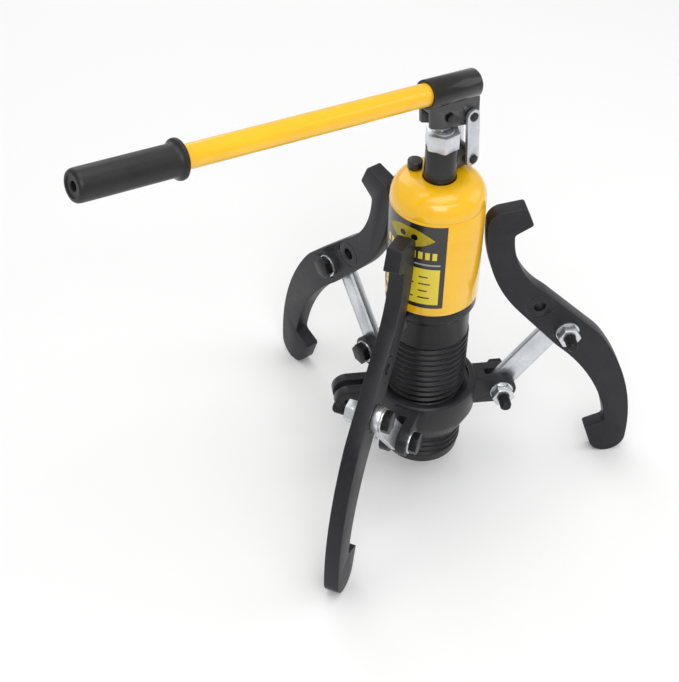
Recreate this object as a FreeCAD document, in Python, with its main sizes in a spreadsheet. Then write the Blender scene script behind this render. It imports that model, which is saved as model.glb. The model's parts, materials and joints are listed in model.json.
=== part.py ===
import FreeCAD, Part
import math
import os
import Sketcher

# Self-contained hydraulic gear puller: a threaded cylinder with its own hand pump, a jaw
# carrier on the thread, and three reversible jaws on link plates.
# Frame: +Z up along the cylinder, origin in the middle of the ram's front face, where the
# nose starts. The pump handle leaves towards -X. Lengths in millimetres.

doc = FreeCAD.newDocument("GearPuller")
sheet = doc.addObject("Spreadsheet::Sheet", "sizes")

SIZES = {
    # cylinder
    "barrel_radius": 34.0, "thread_pitch": 6.0, "thread_depth": 1.7, "thread_start": 8.0,
    "thread_turns": 21, "barrel_bore": 22.0, "bore_top": 132.0, "collar_bottom": 160.0,
    "collar_wide": 166.0, "collar_top": 175.0, "collar_radius": 37.2, "upper_radius": 33.0,
    # reservoir
    "shell_radius": 38.0, "shell_wall": 2.0, "shell_bottom": 175.3, "shell_top": 288.0,
    "shell_curve": 18.0, "bladder_gap": 1.2, "bladder_wall": 1.5, "label_arc": 118.0,
    "label_bottom": 184.0, "label_top": 266.0, "label_wall": 0.25,
    # ram
    "ram_radius": 19.0, "ram_length": 92.0, "ram_bore": 13.0, "piston_length": 14.0,
    "gland_length": 14.0, "bush_wall": 2.0, "nose_radius": 9.0, "nose_length": 5.0,
    "nose_cone": 13.0, "spring_radius": 9.0, "spring_wire": 2.2,
    # pump
    "pump_radius": 12.6, "pump_bottom": 165.0, "neck_top": 316.0, "nut_flats": 24.0,
    "nut_height": 14.0, "plunger_radius": 5.5, "plunger_bottom": 224.0, "pump_bore_bottom": 206.0,
    "pin_height": 344.6, "pin_radius": 2.6, "fulcrum_x": 20.9, "fulcrum_z": 339.0,
    "lug_x": 23.9, "lug_z": 298.7, "lug_radius": 7.0, "lug_play": 1.25, "lug_half_width": 7.1,
    # handle
    "handle_angle": 9.35, "handle_z": 366.0, "tube_radius": 8.8, "tube_wall": 1.6,
    "tube_end": 292.0, "socket_wall": 2.4, "socket_front": 20.5, "socket_back": 27.0,
    "cheek_inner": 3.9, "grip_radius": 11.6, "grip_start": 236.0, "grip_end": 317.0,
    "flange_radius": 14.5, "plate_width": 11.8, "plate_thickness": 3.0, "plate_inner": 7.5,
    # release valve and plugs
    "valve_angle": 195.0, "valve_height": 170.4, "stem_radius": 3.0, "knob_radius": 10.0,
    "knob_thickness": 4.5, "knob_face": 51.5, "plug_angle": 214.0, "plug_height": 151.0,
    "filler_angle": 116.0, "filler_radius": 6.0, "filler_offset": 21.0,
    # carrier and legs
    "leg_angle": -30.0, "carrier_bottom": 33.0, "carrier_top": 76.0, "carrier_radius": 44.0,
    "carrier_bore": 34.08, "bolt_circle": 66.0, "bolt_height": 60.0, "ear_radius": 13.0,
    "ear_outer": 11.3, "ear_inner": 3.3, "slot_bottom": 52.5, "link_length": 84.0,
    "link_angle": 54.0, "link_width": 21.0, "link_thickness": 6.0, "jaw_thickness": 13.0,
    "jaw_gap": 0.3, "hole_spacing": 40.0, "jaw_slope": 131.5,
    # M10 fasteners
    "bolt_radius": 5.0, "hole_play": 0.08, "head_flats": 17.0, "head_height": 6.4,
    "nut_thickness": 8.0, "washer_radius": 10.0, "washer_thickness": 2.0, "thread_tail": 11.5,
}
for row, (alias, value) in enumerate(SIZES.items(), start=1):
    sheet.set(f"A{row}", alias)
    sheet.set(f"B{row}", str(value))
    sheet.setAlias(f"B{row}", alias)
doc.recompute()

Vector = FreeCAD.Vector
UP = Vector(0, 0, 1)
ACROSS = Vector(0, 1, 0)
LEG_TURNS = (0, 120, 240)
SPARE_TURN = 180


def size(alias):
    """A driving dimension as a plain number."""
    return float(sheet.get(alias))


def bind(item, **formulas):
    """Tie properties of an object to cells, written as formulas of their aliases."""
    for prop, formula in formulas.items():
        item.setExpression(prop, formula)
    return item


def cell(alias):
    return "sizes." + alias


def place(item, position=(0, 0, 0), axis=UP, degrees=0.0):
    item.Placement = FreeCAD.Placement(Vector(*position), FreeCAD.Rotation(axis, degrees))
    return item


def pointing(item, position, direction):
    """Turn a piece made along +Z so that it lies along the given direction."""
    turn = FreeCAD.Rotation(UP, Vector(*direction))
    item.Placement = FreeCAD.Placement(Vector(*position), turn)
    return item


def cylinder(name, radius, height, position=(0, 0, 0), direction=(0, 0, 1)):
    item = doc.addObject("Part::Cylinder", name)
    bind(item, Radius=radius, Height=height)
    return pointing(item, position, direction)


def hexagon(name, flats, height, position=(0, 0, 0), direction=(0, 0, 1)):
    """A six-sided prism measured across its flats."""
    item = doc.addObject("Part::Prism", name)
    item.Polygon = 6
    bind(item, Circumradius=f"({flats}) / 2 / cos(30 deg)", Height=height)
    return pointing(item, position, direction)


def box(name, length, width, height, position=(0, 0, 0), axis=UP, degrees=0.0):
    item = doc.addObject("Part::Box", name)
    bind(item, Length=length, Width=width, Height=height)
    return place(item, position, axis, degrees)


def fuse(name, pieces):
    item = doc.addObject("Part::MultiFuse", name)
    item.Shapes = pieces
    return item


def cut(name, base, tool):
    item = doc.addObject("Part::Cut", name)
    item.Base = base
    item.Tool = tool
    return item


def group(name, pieces):
    """Several identical solids in one sub-part."""
    item = doc.addObject("Part::Compound", name)
    item.Links = pieces
    return item


def plane_of(body, role):
    return next(item for item in body.Origin.OriginFeatures if item.Role == role)


def new_sketch(body, name, role):
    sketch = body.newObject("Sketcher::SketchObject", name)
    sketch.AttachmentSupport = [(plane_of(body, role), "")]
    sketch.MapMode = "FlatFace"
    return sketch


def bound_outline(sketch, corners):
    """A closed outline whose corners are tied to formulas of the sheet's aliases."""
    count = len(corners)
    for index in range(count):
        here = 2 * math.pi * index / count
        after = 2 * math.pi * (index + 1) / count
        start = Vector(50 + 40 * math.cos(here), 50 + 40 * math.sin(here), 0)
        end = Vector(50 + 40 * math.cos(after), 50 + 40 * math.sin(after), 0)
        sketch.addGeometry(Part.LineSegment(start, end), False)
    for index in range(count):
        sketch.addConstraint(Sketcher.Constraint("Coincident", index, 2, (index + 1) % count, 1))
    for index, (across, along) in enumerate(corners):
        for kind, formula in (("DistanceX", across), ("DistanceY", along)):
            number = sketch.addConstraint(Sketcher.Constraint(kind, -1, 1, index, 1, 10.0 + index))
            sketch.setExpression(f"Constraints[{number}]", formula)


def turned(name, corners):
    """A body turned about Z from corners given as (radius, height) formulas."""
    body = doc.addObject("PartDesign::Body", name)
    sketch = new_sketch(body, name + "_profile", "XZ_Plane")
    bound_outline(sketch, corners)
    revolution = body.newObject("PartDesign::Revolution", name + "_turned")
    revolution.Profile = sketch
    revolution.ReferenceAxis = (sketch, ["V_Axis"])
    revolution.Angle = 360.0
    body.Tip = revolution
    return body


def circle_edges(shape, radius, height):
    """Names of the full circles of one radius at one height."""
    names = []
    for index, edge in enumerate(shape.Edges, start=1):
        curve = edge.Curve
        if isinstance(curve, Part.Circle) and abs(curve.Radius - radius) < 1e-3:
            if abs(curve.Center.z - height) < 1e-3:
                names.append(f"Edge{index}")
    return names


def edges_across(shape, corners, reach=0.5):
    """Names of the edges along Y whose ends lie at the given points of the XZ plane."""
    names = []
    for order, edge in enumerate(shape.Edges, start=1):
        low, high = edge.Vertexes[0].Point, edge.Vertexes[-1].Point
        if abs(low.x - high.x) > 0.01 or abs(low.z - high.z) > 0.01:
            continue
        if any(math.hypot(low.x - x_place, low.z - z_place) < reach for x_place, z_place in corners):
            names.append(f"Edge{order}")
    return names


def round_edge(body, base, names, formula, name, kind="PartDesign::Fillet"):
    dressed = body.newObject(kind, name)
    dressed.Base = (base, names)
    bind(dressed, **{"Radius" if kind.endswith("Fillet") else "Size": formula})
    body.Tip = dressed
    return dressed


def finish(item, label):
    """Give a finished sub-part the label that names its file."""
    item.Label = label
    parts.append(item)
    return item


parts = []

# ---------------------------------------------------------------- cylinder barrel
# One forged tube: threaded outside, bored for the ram, with a solid pump head on top.
barrel_body = turned("barrel_blank", [
    ("0", cell("bore_top")),
    (cell("barrel_bore"), cell("bore_top")),
    (cell("barrel_bore"), "0"),
    (f"{cell('barrel_radius')} - 1.5", "0"),
    (cell("barrel_radius"), "1.5"),
    (cell("barrel_radius"), f"{cell('thread_start')} + {cell('thread_pitch')} * {cell('thread_turns')}"),
    (cell("upper_radius"), f"{cell('thread_start')} + {cell('thread_pitch')} * {cell('thread_turns')} + 1"),
    (cell("upper_radius"), cell("collar_bottom")),
    (cell("collar_radius"), cell("collar_wide")),
    (cell("collar_radius"), cell("collar_top")),
    ("0", cell("collar_top")),
])
groove_sketch = new_sketch(barrel_body, "thread_profile", "XZ_Plane")
bound_outline(groove_sketch, [
    (f"{cell('barrel_radius')} + 1", f"{cell('thread_start')} - {cell('thread_pitch')} * 0.42"),
    (f"{cell('barrel_radius')} - {cell('thread_depth')}", f"{cell('thread_start')} - 0.5"),
    (f"{cell('barrel_radius')} - {cell('thread_depth')}", f"{cell('thread_start')} + 0.5"),
    (f"{cell('barrel_radius')} + 1", f"{cell('thread_start')} + {cell('thread_pitch')} * 0.42"),
])
thread_groove = barrel_body.newObject("PartDesign::Groove", "thread_groove")
thread_groove.Profile = groove_sketch
thread_groove.ReferenceAxis = (groove_sketch, ["V_Axis"])
thread_groove.Angle = 360.0
thread_rows = barrel_body.newObject("PartDesign::LinearPattern", "thread_rows")
thread_rows.Originals = [thread_groove]
thread_rows.Direction = (groove_sketch, ["V_Axis"])
bind(thread_rows, Length=f"{cell('thread_pitch')} * ({cell('thread_turns')} - 1)",
     Occurrences=cell("thread_turns"))
barrel_body.Tip = thread_rows


def outward(degrees):
    angle = math.radians(degrees)
    return Vector(math.cos(angle), math.sin(angle), 0)


valve_line = outward(size("valve_angle"))
plug_line = outward(size("plug_angle"))
valve_start = valve_line * 20 + UP * size("valve_height")
plug_depth = 8
plug_start = plug_line * (size("upper_radius") - plug_depth) + UP * size("plug_height")
SUCTION_X = 8.4
DISCHARGE_X = -8.4
VALVE_FLOOR = 146.0
CHAMBER_RADIUS = 3.6
CHAMBER_LENGTH = 24.0
OIL_WAY_RADIUS = 1.5
pump_socket = cylinder("pump_socket", cell("pump_radius"), "12", (0, 0, size("pump_bottom")))
barrel_cuts = fuse("barrel_cuts", [
    pump_socket,
    cylinder("valve_hole", f"{cell('stem_radius')} + 0.05", "30", valve_start, valve_line),
    cylinder("plug_hole", "5", f"{plug_depth} + 2", plug_start, plug_line),
    cylinder("suction_chamber", str(CHAMBER_RADIUS), str(CHAMBER_LENGTH), (SUCTION_X, 0, VALVE_FLOOR)),
    cylinder("discharge_chamber", str(CHAMBER_RADIUS), str(CHAMBER_LENGTH), (DISCHARGE_X, 0, VALVE_FLOOR)),
    cylinder("oil_way", str(OIL_WAY_RADIUS), "20", (DISCHARGE_X, 0, VALVE_FLOOR - 16)),
    cylinder("spring_seat_hole", "5", "10", (0, 0, size("bore_top") - 1)),
])
finish(cut("barrel_piece", barrel_body, barrel_cuts), "barrel")

# Gland ring screwed into the open end, its bronze bush and the wiper that seal the ram.
finish(turned("gland_piece", [
    (f"{cell('ram_radius')} + {cell('bush_wall')}", "0.5"),
    (f"{cell('barrel_bore')}", "0.5"),
    (f"{cell('barrel_bore')}", cell("gland_length")),
    (f"{cell('ram_radius')} + {cell('bush_wall')}", cell("gland_length")),
]), "gland_ring")
finish(turned("bush_piece", [
    (f"{cell('ram_radius')} + 0.05", "4"),
    (f"{cell('ram_radius')} + {cell('bush_wall')}", "4"),
    (f"{cell('ram_radius')} + {cell('bush_wall')}", cell("gland_length")),
    (f"{cell('ram_radius')} + 0.05", cell("gland_length")),
]), "ram_bush")
finish(turned("wiper_piece", [
    (f"{cell('ram_radius')} + 0.05", "0.8"),
    (f"{cell('ram_radius')} + {cell('bush_wall')}", "0.8"),
    (f"{cell('ram_radius')} + {cell('bush_wall')}", "4"),
    (f"{cell('ram_radius')} + 0.05", "4"),
]), "ram_wiper")

# ---------------------------------------------------------------- reservoir
# Pressed steel cover over an oil bladder that surrounds the pump tube.
shell_body = turned("shell_piece", [
    (f"{cell('pump_radius')} + 0.4", cell("shell_top")),
    (cell("shell_radius"), cell("shell_top")),
    (cell("shell_radius"), cell("shell_bottom")),
    (f"{cell('shell_radius')} - {cell('shell_wall')}", cell("shell_bottom")),
    (f"{cell('shell_radius')} - {cell('shell_wall')}", f"{cell('shell_top')} - {cell('shell_wall')}"),
    (f"{cell('pump_radius')} + 0.4", f"{cell('shell_top')} - {cell('shell_wall')}"),
])
doc.recompute()
inner_top = size("shell_top") - size("shell_wall")
inner_radius = size("shell_radius") - size("shell_wall")
outer_names = circle_edges(shell_body.Shape, size("shell_radius"), size("shell_top"))
outer_round = round_edge(shell_body, shell_body.Tip, outer_names, cell("shell_curve"), "shell_shoulder")
doc.recompute()
inner_names = circle_edges(shell_body.Shape, inner_radius, inner_top)
round_edge(shell_body, outer_round, inner_names, f"{cell('shell_curve')} - {cell('shell_wall')}",
           "shell_inner_shoulder")

filler_line = outward(size("filler_angle"))
filler_place = filler_line * size("filler_offset")
filler_hole = cylinder("filler_hole", "3.05", "20", filler_place + UP * (size("shell_top") - 12))
finish(cut("shell_drilled", shell_body, filler_hole), "reservoir_shell")
filler_head_z = size("shell_top") + 0.1
finish(fuse("filler_piece", [
    cylinder("filler_stem", "3", "7", filler_place + UP * (filler_head_z - 6.9)),
    cylinder("filler_head", cell("filler_radius"), "7", filler_place + UP * filler_head_z),
]), "filler_plug")

# Printed band: a thin curved sheet on the shell's side.
label_disc = cylinder("label_disc", f"{cell('shell_radius')} + 0.05 + {cell('label_wall')}",
                      f"{cell('label_top')} - {cell('label_bottom')}", (0, 0, size("label_bottom")))
bind(label_disc, Angle=cell("label_arc"))
LABEL_FIRST = -118.0 - size("label_arc")
place(label_disc, (0, 0, size("label_bottom")), UP, LABEL_FIRST)
label_core = cylinder("label_core", f"{cell('shell_radius')} + 0.05", "200", (0, 0, 100))
finish(cut("label_piece", label_disc, label_core), "reservoir_label")

# Rubber bladder: a sleeve closed at both ends against the pump tube.
BLADDER_LOW = 178.0
BLADDER_HIGH = 266.0
bladder_inner = f"{cell('pump_radius')} + 0.1"
bladder_outer = f"{cell('shell_radius')} - {cell('shell_wall')} - {cell('bladder_gap')}"
finish(turned("bladder_piece", [
    (bladder_inner, f"{BLADDER_LOW}"),
    (bladder_outer, f"{BLADDER_LOW}"),
    (bladder_outer, f"{BLADDER_HIGH}"),
    (bladder_inner, f"{BLADDER_HIGH}"),
    (bladder_inner, f"{BLADDER_HIGH} - {cell('bladder_wall')}"),
    (f"{bladder_outer} - {cell('bladder_wall')}", f"{BLADDER_HIGH} - {cell('bladder_wall')}"),
    (f"{bladder_outer} - {cell('bladder_wall')}", f"{BLADDER_LOW} + {cell('bladder_wall')}"),
    (bladder_inner, f"{BLADDER_LOW} + {cell('bladder_wall')}"),
]), "oil_bladder")

# ---------------------------------------------------------------- pump tube and gland
PACKING_LENGTH = 8.0
pump_tube = turned("pump_tube", [
    ("0", f"{cell('pump_bottom')} + 0.2"),
    (f"{cell('pump_radius')} - 0.05", f"{cell('pump_bottom')} + 0.2"),
    (f"{cell('pump_radius')} - 0.05", cell("neck_top")),
    (f"{cell('plunger_radius')} + 2.5", cell("neck_top")),
    (f"{cell('plunger_radius')} + 2.5", f"{cell('neck_top')} - {PACKING_LENGTH}"),
    (f"{cell('plunger_radius')} + 0.05", f"{cell('neck_top')} - {PACKING_LENGTH}"),
    (f"{cell('plunger_radius')} + 0.05", cell("pump_bore_bottom")),
    ("0", cell("pump_bore_bottom")),
])
LUG_HEIGHT = 11.0
lug_block = box("lug_block", cell("lug_x"), f"2 * {cell('lug_half_width')}", str(LUG_HEIGHT),
                (0, -size("lug_half_width"), size("lug_z") - LUG_HEIGHT / 2))
lug_eye = cylinder("lug_eye", cell("lug_radius"), f"2 * {cell('lug_half_width')}",
                   (size("lug_x"), -size("lug_half_width"), size("lug_z")), ACROSS)
lug_solid = fuse("lug_solid", [lug_block, lug_eye])
lug_bore = cylinder("lug_bore", f"{cell('plunger_radius')} + 0.05", "60", (0, 0, 270))
lug_hole = cylinder("lug_hole", f"{cell('pin_radius')} + {cell('lug_play')}", "40",
                    (size("lug_x"), -20, size("lug_z")), ACROSS)
oil_drill = cylinder("oil_drill", str(OIL_WAY_RADIUS), "60", (0, 0, size("pump_bottom") - 5))
finish(cut("pump_piece", fuse("pump_solid", [pump_tube, lug_solid]),
           fuse("pump_cuts", [lug_bore, lug_hole, oil_drill])), "pump_body")

finish(turned("packing_piece", [
    (f"{cell('plunger_radius')} + 0.04", f"{cell('neck_top')} - {PACKING_LENGTH} + 0.2"),
    (f"{cell('plunger_radius')} + 2.5", f"{cell('neck_top')} - {PACKING_LENGTH} + 0.2"),
    (f"{cell('plunger_radius')} + 2.5", f"{cell('neck_top')} - 0.2"),
    (f"{cell('plunger_radius')} + 0.04", f"{cell('neck_top')} - 0.2"),
]), "plunger_packing")
nut_hex = hexagon("nut_hex", cell("nut_flats"), cell("nut_height"), (0, 0, size("neck_top") + 0.1))
NUT_COLLAR_RADIUS = 8.6
NUT_COLLAR_HEIGHT = 0.9
nut_collar = cylinder("nut_collar", str(NUT_COLLAR_RADIUS), str(NUT_COLLAR_HEIGHT + 0.1),
                      (0, 0, size("neck_top") + size("nut_height")))
nut_bore = cylinder("nut_bore", f"{cell('plunger_radius')} + 0.1", "40", (0, 0, size("neck_top") - 5))
finish(cut("nut_piece", fuse("nut_solid", [nut_hex, nut_collar]), nut_bore), "packing_nut")

# ---------------------------------------------------------------- check valves in the head
BALL_RADIUS = 2.4
SPRING_REST = 12.0


def coil(name, radius, wire, height, turns, position):
    """A round-wire spring standing on its position."""
    helix = Part.makeHelix(height / turns, height, radius)
    section = Part.Wire(Part.makeCircle(wire / 2, Vector(radius, 0, 0), ACROSS))
    spring = Part.Wire(helix).makePipeShell([section], True, True)
    item = doc.addObject("Part::Feature", name)
    item.Shape = spring
    item.Placement = FreeCAD.Placement(Vector(*position), FreeCAD.Rotation())
    return item


for valve_name, valve_x in (("suction", SUCTION_X), ("discharge", DISCHARGE_X)):
    ball = doc.addObject("Part::Sphere", valve_name + "_ball_piece")
    ball.Radius = BALL_RADIUS
    place(ball, (valve_x, 0, VALVE_FLOOR + BALL_RADIUS + 0.02))
    finish(ball, valve_name + "_ball")
    spring_foot = VALVE_FLOOR + 2 * BALL_RADIUS + 0.4
    finish(coil(valve_name + "_coil", 1.6, 0.6, SPRING_REST, 6, (valve_x, 0, spring_foot)),
           valve_name + "_spring")

# ---------------------------------------------------------------- ram
PISTON_RADIUS = size("barrel_bore") - 0.06
SEAL_LOW = size("ram_length") - 9
SEAL_HIGH = size("ram_length") - 4
RAM_FLOOR = 14.0
piston = f"{PISTON_RADIUS}"
finish(turned("ram_piece", [
    ("3.05", "0"),
    (f"{cell('ram_radius')} - 1.2", "0"),
    (cell("ram_radius"), "1.2"),
    (cell("ram_radius"), f"{cell('ram_length')} - {cell('piston_length')}"),
    (piston, f"{cell('ram_length')} - {cell('piston_length')}"),
    (piston, str(SEAL_LOW)),
    ("19.2", str(SEAL_LOW)),
    ("19.2", str(SEAL_HIGH)),
    (piston, str(SEAL_HIGH)),
    (piston, cell("ram_length")),
    (cell("ram_bore"), cell("ram_length")),
    (cell("ram_bore"), str(RAM_FLOOR)),
    ("3.05", str(RAM_FLOOR)),
]), "ram")
finish(turned("seal_piece", [
    ("19.2", f"{SEAL_LOW} + 0.2"),
    (piston, f"{SEAL_LOW} + 0.2"),
    (piston, f"{SEAL_HIGH} - 0.2"),
    ("19.2", f"{SEAL_HIGH} - 0.2"),
]), "piston_seal")
# The nose screws into the ram's face and centres it in the end of a shaft.
finish(turned("nose_piece", [
    ("0", f"-{cell('nose_length')} - {cell('nose_cone')}"),
    ("1.5", f"-{cell('nose_length')} - {cell('nose_cone')}"),
    (cell("nose_radius"), f"-{cell('nose_length')}"),
    (cell("nose_radius"), "0"),
    ("3.0", "0"),
    ("3.0", "10"),
    ("0", "10"),
]), "ram_nose")
# The return spring pulls the ram back in. It hangs from a hook in the barrel's head.
SPRING_LOW = RAM_FLOOR + 3.5
SPRING_HIGH = size("bore_top") - 2.0
return_height = SPRING_HIGH - SPRING_LOW - size("spring_wire")
finish(coil("return_coil", size("spring_radius"), size("spring_wire"), return_height, 22,
            (0, 0, SPRING_LOW + size("spring_wire") / 2)), "return_spring")
finish(turned("hook_piece", [
    ("0", f"{SPRING_HIGH} + 0.1"),
    ("11", f"{SPRING_HIGH} + 0.1"),
    ("11", cell("bore_top")),
    ("4.9", cell("bore_top")),
    ("4.9", f"{cell('bore_top')} + 8"),
    ("0", f"{cell('bore_top')} + 8"),
]), "spring_anchor")
finish(turned("foot_piece", [
    ("0", f"{RAM_FLOOR} + 0.1"),
    ("12", f"{RAM_FLOOR} + 0.1"),
    ("12", f"{SPRING_LOW} - 0.1"),
    ("0", f"{SPRING_LOW} - 0.1"),
]), "spring_foot")

# ---------------------------------------------------------------- release valve and side plug
knob_back = size("knob_face") - size("knob_thickness")
knob_place = valve_line * knob_back + UP * size("valve_height")
knob_solid = fuse("knob_solid", [
    cylinder("knob_disc", cell("knob_radius"), cell("knob_thickness"), knob_place, valve_line),
    cylinder("knob_hub", "5", "4.6", knob_place - valve_line * 4.5, valve_line),
])
knob_ring = cut("knob_ring",
                cylinder("ring_outer", "7.8", "2", knob_place + valve_line * 3.4, valve_line),
                cylinder("ring_inner", "6.6", "4", knob_place + valve_line * 2.4, valve_line))
finish(cut("knob_piece", knob_solid, knob_ring), "release_knob")
stem_start = valve_line * 21.5 + UP * size("valve_height")
stem_length = knob_back - 4.5 - 21.5 - 0.1
finish(cylinder("stem_piece", cell("stem_radius"), str(stem_length), stem_start, valve_line),
       "release_stem")
plug_screw = cylinder("plug_screw", "4.95", str(plug_depth - 0.4), plug_start, plug_line)
plug_socket = hexagon("plug_socket", "5", "6", plug_start + plug_line * (plug_depth - 4.4), plug_line)
finish(cut("plug_piece", plug_screw, plug_socket), "side_plug")

# ---------------------------------------------------------------- plunger and its pin
KNUCKLE_RADIUS = 6.0
KNUCKLE_FLAT = 17.0
knuckle_half = size("cheek_inner") - 0.4
flat_bottom = size("pin_height") - KNUCKLE_FLAT
plunger_rod = cylinder("plunger_rod", cell("plunger_radius"),
                       f"{cell('pin_height')} - {cell('plunger_bottom')} - 3",
                       (0, 0, size("plunger_bottom")))
knuckle = cylinder("plunger_knuckle", str(KNUCKLE_RADIUS), str(2 * knuckle_half),
                   (0, -knuckle_half, size("pin_height")), ACROSS)
plunger_sides = fuse("plunger_sides", [
    box("side_a", "40", "10", "40", (-20, knuckle_half, flat_bottom)),
    box("side_b", "40", "10", "40", (-20, -knuckle_half - 10, flat_bottom)),
])
pivot_hole = cylinder("pivot_hole", cell("pin_radius"), "40", (0, -20, size("pin_height")), ACROSS)
finish(cut("plunger_piece", fuse("plunger_solid", [plunger_rod, knuckle]),
           fuse("plunger_cuts", [plunger_sides, pivot_hole])), "plunger")


def headed_pin(name, half_length, position, head_radius=3.6, head_height=1.2):
    """A pin along Y with a low head at each end."""
    centre_x, _, centre_z = position
    shank = cylinder(name + "_shank", cell("pin_radius"), str(2 * half_length),
                     (centre_x, -half_length, centre_z), ACROSS)
    near = cylinder(name + "_near", str(head_radius), str(head_height),
                    (centre_x, -half_length - head_height, centre_z), ACROSS)
    far = cylinder(name + "_far", str(head_radius), str(head_height),
                   (centre_x, half_length, centre_z), ACROSS)
    return fuse(name + "_solid", [shank, near, far])


cheek_outer = size("lug_half_width")
finish(headed_pin("plunger_pin_piece", cheek_outer + 0.3, (0, 0, size("pin_height"))), "plunger_pin")

# ---------------------------------------------------------------- handle
# Local frame of the handle: along -X raised by the handle's angle.
slope = math.radians(size("handle_angle"))
ALONG = Vector(-math.cos(slope), 0, math.sin(slope))
HANDLE_FOOT = Vector(0, 0, size("handle_z"))


def on_handle(distance):
    return HANDLE_FOOT + ALONG * distance


socket_radius = size("tube_radius") + size("socket_wall")
socket_length = size("socket_front") + size("socket_back")
socket_tube = cylinder("socket_tube", str(socket_radius), str(socket_length),
                       on_handle(-size("socket_back")), ALONG)
CHEEK = [(-20.0, 362.0), (-18.5, 342.0), (-7.0, 337.0), (12.0, 333.2), (20.9, 330.6),
         (29.4, 336.0), (28.5, 352.0), (25.0, 362.0)]
cheek_body = doc.addObject("PartDesign::Body", "cheek_body")
cheek_sketch = new_sketch(cheek_body, "cheek_outline", "XZ_Plane")
bound_outline(cheek_sketch, [(f"{x_place}", f"{z_place}") for x_place, z_place in CHEEK])
cheek_pad = cheek_body.newObject("PartDesign::Pad", "cheek_pad")
cheek_pad.Profile = cheek_sketch
cheek_pad.Midplane = True
bind(cheek_pad, Length=f"2 * {cell('lug_half_width')}")
cheek_body.Tip = cheek_pad
socket_bore = cylinder("socket_bore", f"{cell('tube_radius')} + 0.05", str(socket_length),
                       on_handle(-size("socket_back") + 3), ALONG)
CHEEK_SLOT_TOP = 355.0
cheek_slot = box("cheek_slot", "120", f"2 * {cell('cheek_inner')}", "100",
                 (-60, -size("cheek_inner"), CHEEK_SLOT_TOP - 100))
socket_pins = fuse("socket_pins", [
    cylinder("socket_pivot", f"{cell('pin_radius')} + 0.05", "40", (0, -20, size("pin_height")), ACROSS),
    cylinder("socket_fulcrum", cell("pin_radius"), "40",
             (size("fulcrum_x"), -20, size("fulcrum_z")), ACROSS),
])
finish(cut("socket_piece", fuse("socket_solid", [socket_tube, cheek_body]),
           fuse("socket_cuts", [socket_bore, cheek_slot, socket_pins])), "handle_socket")

tube_start = -size("socket_back") + 3.4
handle_tube = cylinder("tube_outer", cell("tube_radius"), str(size("tube_end") - tube_start),
                       on_handle(tube_start), ALONG)
handle_hollow = cylinder("tube_inner", f"{cell('tube_radius')} - {cell('tube_wall')}", "400",
                         on_handle(tube_start - 10), ALONG)
finish(cut("tube_piece", handle_tube, handle_hollow), "handle_tube")

GRIP_CAP = 4.0
grip_solid = fuse("grip_solid", [
    cylinder("grip_sleeve", cell("grip_radius"), f"{cell('grip_end')} - {cell('grip_start')}",
             on_handle(size("grip_start")), ALONG),
    cylinder("grip_flange", cell("flange_radius"), "4", on_handle(size("grip_start")), ALONG),
])
grip_cuts = fuse("grip_cuts", [
    cylinder("grip_bore", cell("tube_radius"),
             f"{cell('grip_end')} - {cell('grip_start')} - {GRIP_CAP} + 5",
             on_handle(size("grip_start") - 5), ALONG),
    cylinder("grip_hole", "3.5", "40", on_handle(size("grip_end") - 20), ALONG),
])
finish(cut("grip_piece", grip_solid, grip_cuts), "handle_grip")

# Pump link plates: a pair that hangs the handle's fulcrum from the pump body's lug.
fulcrum = Vector(size("fulcrum_x"), 0, size("fulcrum_z"))
anchor = Vector(size("lug_x"), 0, size("lug_z"))
plate_length = (fulcrum - anchor).Length
plate_tilt = math.degrees(math.atan2(fulcrum.x - anchor.x, fulcrum.z - anchor.z))


def pump_plate(name, start_y):
    """One round-ended strip between the two pump pins."""
    half = size("plate_width") / 2
    rounded = fuse(name + "_solid", [
        box(name + "_strip", cell("plate_width"), cell("plate_thickness"), str(plate_length), (-half, 0, 0)),
        cylinder(name + "_low", f"{cell('plate_width')} / 2", cell("plate_thickness"), (0, 0, 0), ACROSS),
        cylinder(name + "_high", f"{cell('plate_width')} / 2", cell("plate_thickness"),
                 (0, 0, plate_length), ACROSS),
    ])
    holes = fuse(name + "_holes", [
        cylinder(name + "_hole_low", cell("pin_radius"), "20", (0, -10, 0), ACROSS),
        cylinder(name + "_hole_high", f"{cell('pin_radius')} + 0.05", "20", (0, -10, plate_length), ACROSS),
    ])
    plate = cut(name, rounded, holes)
    return place(plate, (anchor.x, start_y, anchor.z), ACROSS, plate_tilt)


plate_inner = size("plate_inner")
finish(group("pump_plates", [
    pump_plate("near_plate", -plate_inner - size("plate_thickness")),
    pump_plate("far_plate", plate_inner),
]), "pump_links")
pin_half = plate_inner + size("plate_thickness") + 0.1
finish(headed_pin("fulcrum_pin_piece", pin_half, fulcrum), "fulcrum_pin")
finish(headed_pin("anchor_pin_piece", pin_half, anchor), "anchor_pin")

# ---------------------------------------------------------------- jaw carrier
# A cast nut on the barrel's thread with four pairs of ears: three legs at 120 degrees, and a
# spare pair opposite the first leg for use with two jaws.
RIM_CHAMFER = 1.5
carrier_ring = turned("carrier_ring", [
    (cell("carrier_bore"), cell("carrier_bottom")),
    (f"{cell('carrier_bore')} + 2.4", cell("carrier_bottom")),
    (cell("carrier_radius"), f"{cell('carrier_bottom')} + 17"),
    (cell("carrier_radius"), f"{cell('carrier_top')} - {RIM_CHAMFER}"),
    (f"{cell('carrier_radius')} - {RIM_CHAMFER}", cell("carrier_top")),
    (f"{cell('carrier_bore')} + 4", cell("carrier_top")),
    (f"{cell('carrier_bore')} + 4", f"{cell('carrier_top')} - 4"),
    (cell("carrier_bore"), f"{cell('carrier_top')} - 4"),
])


def leg_placement(turn, forward=0.0, sideways=0.0, height=0.0):
    """Placement in the upright plane of one leg: forward is away from the cylinder."""
    spin = FreeCAD.Rotation(UP, size("leg_angle") + turn)
    return FreeCAD.Placement(spin.multVec(Vector(forward, sideways, height)), spin)


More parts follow.
